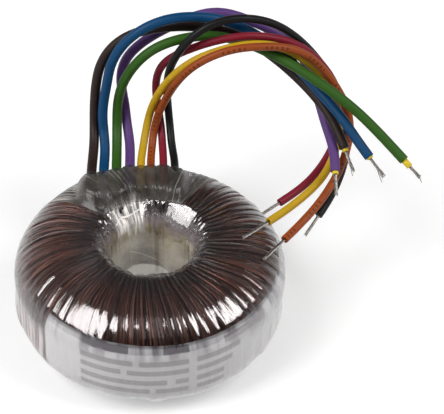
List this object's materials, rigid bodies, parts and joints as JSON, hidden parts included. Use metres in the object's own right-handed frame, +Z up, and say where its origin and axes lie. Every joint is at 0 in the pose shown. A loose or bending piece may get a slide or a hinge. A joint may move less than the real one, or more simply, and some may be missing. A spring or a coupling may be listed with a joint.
{
  "type": "toroidal transformer",
  "caption": "Ring-shaped mains transformer wound with copper wire under clear film, with a through hole and flying leads in eight colours.",
  "frame": {"origin": "centre of the ring's lower flat face, on the axis of the centre hole", "axes": "+Z up along the axis of the centre hole; the flying leads leave under the film at +Y and the printed band faces -Y; +X is to the right seen from the front"},
  "size_m": [0.1039, 0.0823, 0.072],
  "materials": {
    "core_steel": "wound grain-oriented strip, dull edge",
    "insulating_tape": "pale polyester tape",
    "primary_wire": "fine enamelled copper",
    "secondary_wire": "dark red-brown enamelled copper, glossy",
    "clear_film": "clear glossy polyester film, a little milky in the hole",
    "printed_band": "pale printed band, left without words",
    "cloudy_film": "clear film in several laps, cloudy over the joints",
    "sleeve_black": "shrunk sleeving",
    "lead_brown": "satin PVC insulation",
    "lead_blue": "satin PVC insulation",
    "lead_green": "satin PVC insulation",
    "lead_violet": "satin PVC insulation",
    "lead_yellow": "satin PVC insulation",
    "lead_orange": "satin PVC insulation",
    "lead_red": "satin PVC insulation",
    "lead_black": "satin PVC insulation",
    "inner_yellow": "satin inner insulation",
    "tinned_strands": "tinned copper strands"
  },
  "bodies": {
    "root": {"core": "core_steel", "core_insulation": "insulating_tape", "interwinding_insulation": "insulating_tape", "primary_winding_1": "primary_wire", "primary_winding_2": "primary_wire", "secondary_winding_1": "secondary_wire", "secondary_winding_2": "secondary_wire", "outer_wrap": "clear_film", "label": "printed_band", "lead_cover": "cloudy_film", "joint_sleeve_brown": "sleeve_black", "joint_sleeve_blue": "sleeve_black", "joint_sleeve_green": "sleeve_black", "joint_sleeve_violet": "sleeve_black", "joint_sleeve_yellow": "sleeve_black", "joint_sleeve_orange": "sleeve_black", "joint_sleeve_red": "sleeve_black", "joint_sleeve_black": "sleeve_black", "lead_brown": "lead_brown", "lead_blue": "lead_blue", "lead_green": "lead_green", "lead_violet": "lead_violet", "lead_yellow": "lead_yellow", "lead_orange": "lead_orange", "lead_red": "lead_red", "lead_black": "lead_black", "inner_insulation_brown": "inner_yellow", "inner_insulation_blue": "inner_yellow", "inner_insulation_green": "inner_yellow", "inner_insulation_violet": "inner_yellow", "conductor_brown": "tinned_strands", "conductor_blue": "tinned_strands", "conductor_green": "tinned_strands", "conductor_violet": "tinned_strands", "conductor_yellow": "tinned_strands", "conductor_orange": "tinned_strands", "conductor_red": "tinned_strands", "conductor_black": "tinned_strands"}
  },
  "joints": []
}
